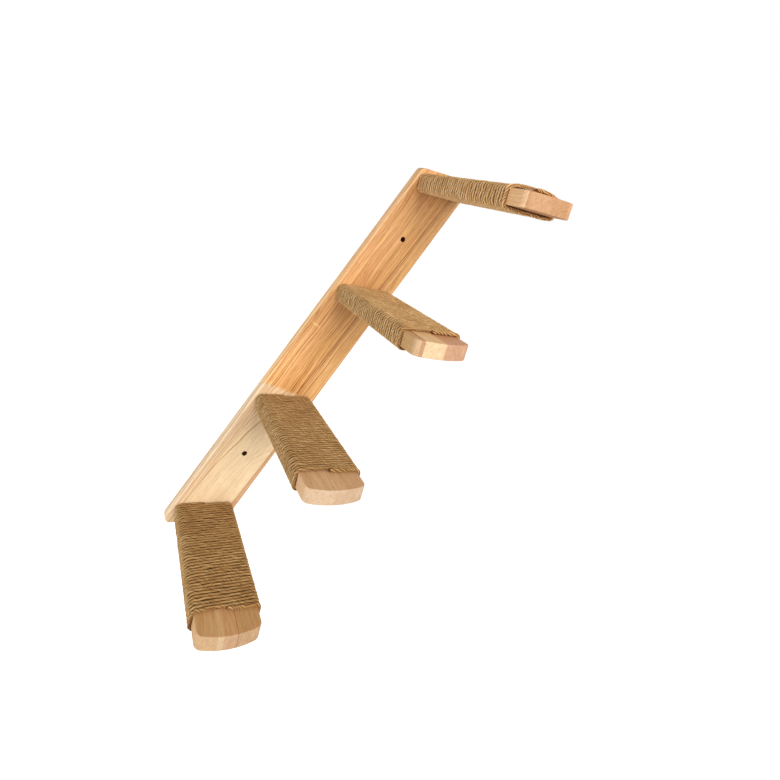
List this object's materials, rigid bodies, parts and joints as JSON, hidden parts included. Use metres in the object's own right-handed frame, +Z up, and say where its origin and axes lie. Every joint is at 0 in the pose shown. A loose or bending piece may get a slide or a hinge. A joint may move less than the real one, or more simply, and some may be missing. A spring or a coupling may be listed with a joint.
{
  "type": "wall-mounted cat climbing steps",
  "caption": "Slanted wooden board that hangs on a wall, with level round-tipped treads standing out from it, each wound with twisted jute rope for a cat to climb and scratch.",
  "frame": {"origin": "middle of the backboard's flat back face, on the wall", "axes": "+Z up, +Y into the wall, so the treads stand out along -Y, and +X to the right as seen from the room"},
  "size_m": [0.4108, 0.273, 0.669],
  "materials": {
    "backboard": "sanded and clear-oiled solid pine or rubberwood, edge-glued",
    "tread_1": "sanded and clear-oiled solid wood, glued from staves",
    "tread_2": "sanded and clear-oiled solid wood, glued from staves",
    "tread_3": "sanded and clear-oiled solid wood, glued from staves",
    "tread_4": "sanded and clear-oiled solid wood, glued from staves",
    "rope_wrap_1": "twisted jute rope, 5 mm, wound tight and glued",
    "rope_wrap_2": "twisted jute rope, 5 mm, wound tight and glued",
    "rope_wrap_3": "twisted jute rope, 5 mm, wound tight and glued",
    "rope_wrap_4": "twisted jute rope, 5 mm, wound tight and glued",
    "bolt_1_left": "zinc-plated steel, countersunk M6",
    "bolt_1_right": "zinc-plated steel, countersunk M6",
    "bolt_2_left": "zinc-plated steel, countersunk M6",
    "bolt_2_right": "zinc-plated steel, countersunk M6",
    "bolt_3_left": "zinc-plated steel, countersunk M6",
    "bolt_3_right": "zinc-plated steel, countersunk M6",
    "bolt_4_left": "zinc-plated steel, countersunk M6",
    "bolt_4_right": "zinc-plated steel, countersunk M6",
    "insert_1_left": "zinc-plated steel threaded insert",
    "insert_1_right": "zinc-plated steel threaded insert",
    "insert_2_left": "zinc-plated steel threaded insert",
    "insert_2_right": "zinc-plated steel threaded insert",
    "insert_3_left": "zinc-plated steel threaded insert",
    "insert_3_right": "zinc-plated steel threaded insert",
    "insert_4_left": "zinc-plated steel threaded insert",
    "insert_4_right": "zinc-plated steel threaded insert"
  },
  "bodies": {
    "root": {"backboard": "backboard", "tread_1": "tread_1", "tread_2": "tread_2", "tread_3": "tread_3", "tread_4": "tread_4", "rope_wrap_1": "rope_wrap_1", "rope_wrap_2": "rope_wrap_2", "rope_wrap_3": "rope_wrap_3", "rope_wrap_4": "rope_wrap_4", "bolt_1_left": "bolt_1_left", "bolt_1_right": "bolt_1_right", "bolt_2_left": "bolt_2_left", "bolt_2_right": "bolt_2_right", "bolt_3_left": "bolt_3_left", "bolt_3_right": "bolt_3_right", "bolt_4_left": "bolt_4_left", "bolt_4_right": "bolt_4_right", "insert_1_left": "insert_1_left", "insert_1_right": "insert_1_right", "insert_2_left": "insert_2_left", "insert_2_right": "insert_2_right", "insert_3_left": "insert_3_left", "insert_3_right": "insert_3_right", "insert_4_left": "insert_4_left", "insert_4_right": "insert_4_right"}
  },
  "joints": []
}
